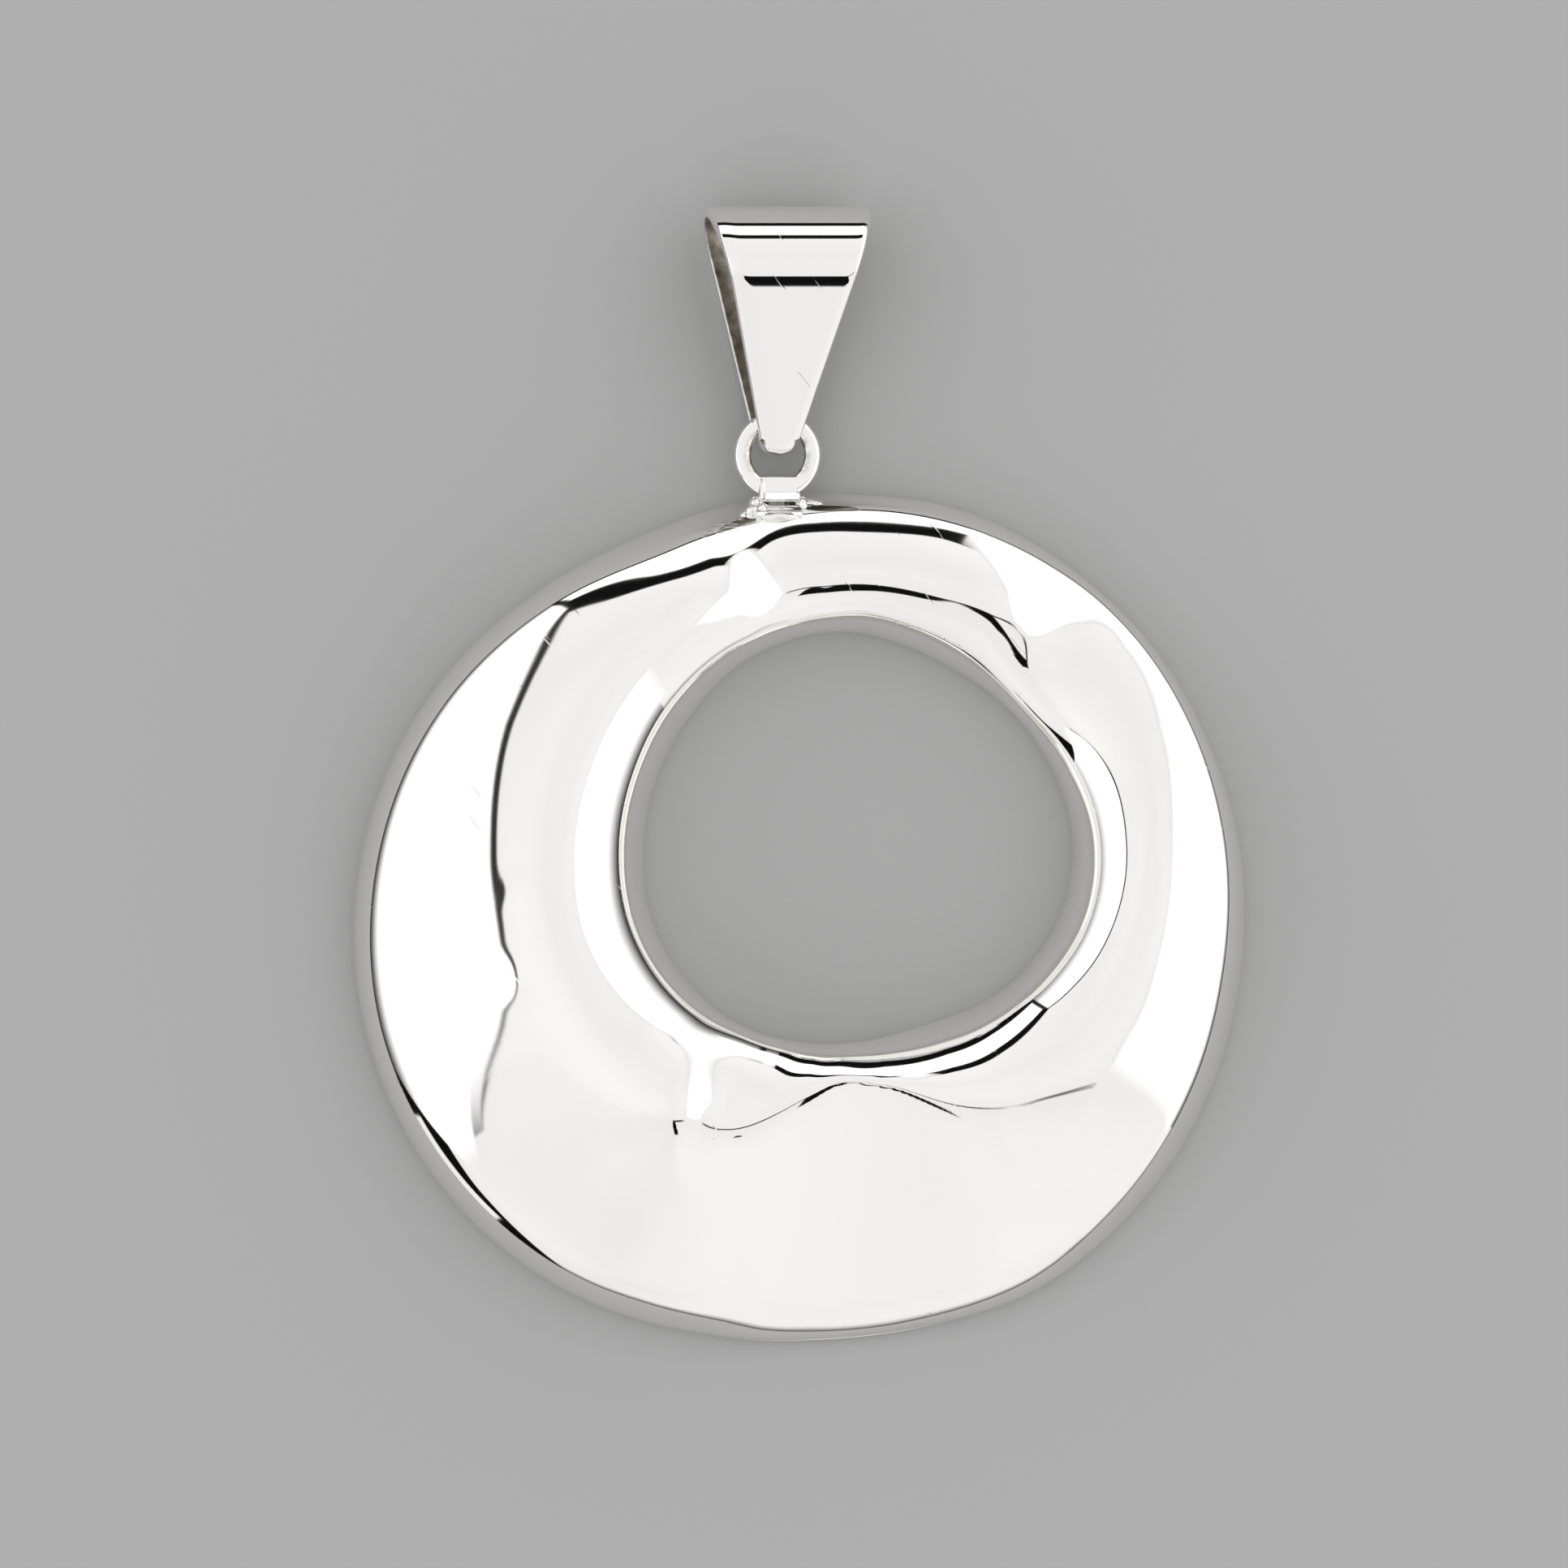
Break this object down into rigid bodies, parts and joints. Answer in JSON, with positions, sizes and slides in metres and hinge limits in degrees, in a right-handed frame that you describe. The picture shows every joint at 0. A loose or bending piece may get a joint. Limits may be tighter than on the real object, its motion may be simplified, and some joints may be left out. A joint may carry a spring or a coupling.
{
  "type": "pendant",
  "caption": "Puffed open circle pendant of polished silver, with an off-centre hole and a folded tapered bail on a soldered ring.",
  "frame": {"origin": "middle of the footprint, in the plane of the flat back", "axes": "+Y from the open circle to the bail, +Z from the flat back to the puffed face, +X to the right of the face with the bail at the top"},
  "size_m": [0.0502, 0.0638, 0.0086],
  "materials": {
    "silver": "polished sterling silver",
    "bail_silver": "polished sterling silver, darker inside"
  },
  "bodies": {
    "root": {"drop": "silver", "bail": "bail_silver"}
  },
  "joints": []
}
